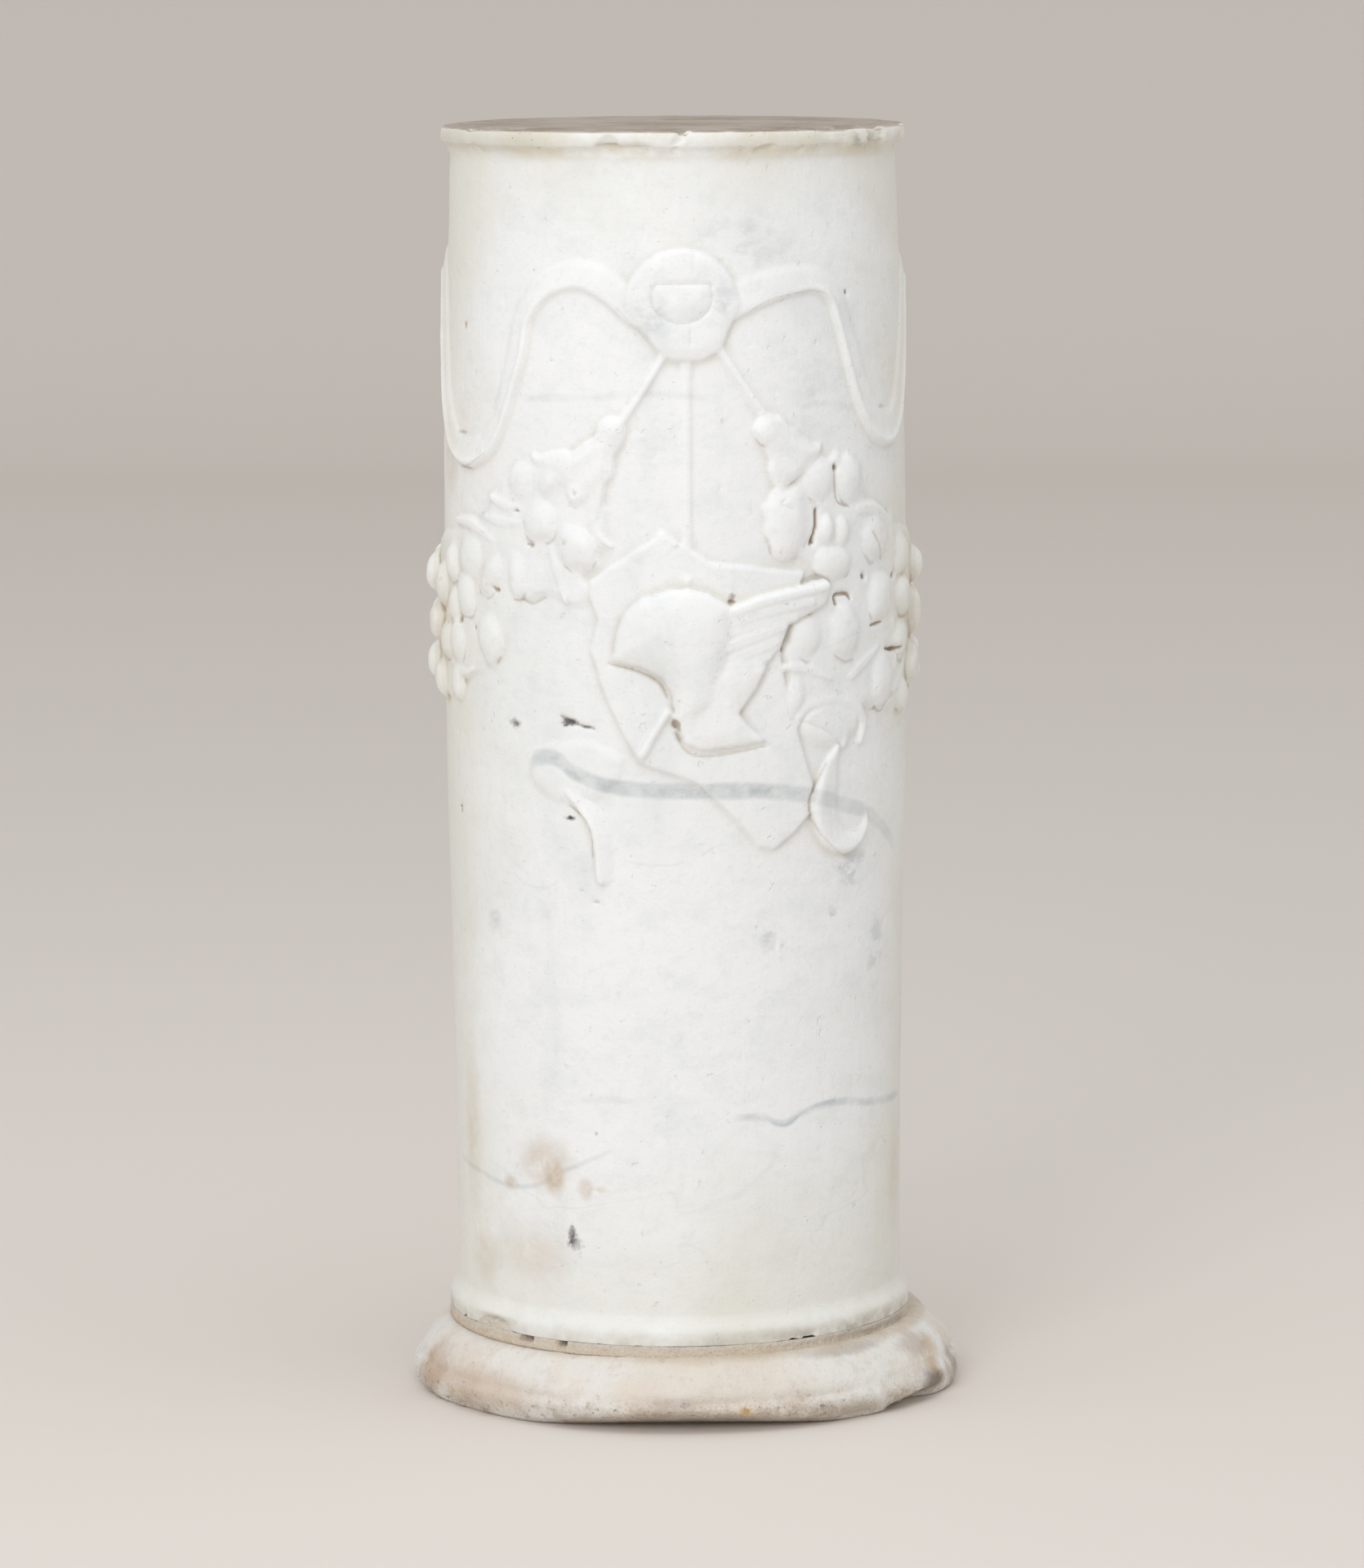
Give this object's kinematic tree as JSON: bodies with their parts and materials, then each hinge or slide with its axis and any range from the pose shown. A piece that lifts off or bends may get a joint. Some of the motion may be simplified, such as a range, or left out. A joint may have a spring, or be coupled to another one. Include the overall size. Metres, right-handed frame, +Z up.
{
  "type": "carved marble column",
  "caption": "Short round carved marble column with a swelling shaft, a winged-helmet trophy and fruit garlands in relief, on a separate round moulded base.",
  "frame": {"origin": "middle of the underside of the base, on the surface it stands on", "axes": "+Z up along the shaft; the front with the winged helmet faces -Y; +X is to the viewer's right"},
  "size_m": [0.308, 0.3076, 0.7],
  "materials": {
    "shaft_marble": "worn, softly polished white marble with blue-grey veins",
    "base_marble": "worn and dirty cream marble",
    "mortar": "rough sandy mortar"
  },
  "bodies": {
    "root": {"shaft": "shaft_marble", "base": "base_marble", "mortar_joint": "mortar"}
  },
  "joints": []
}
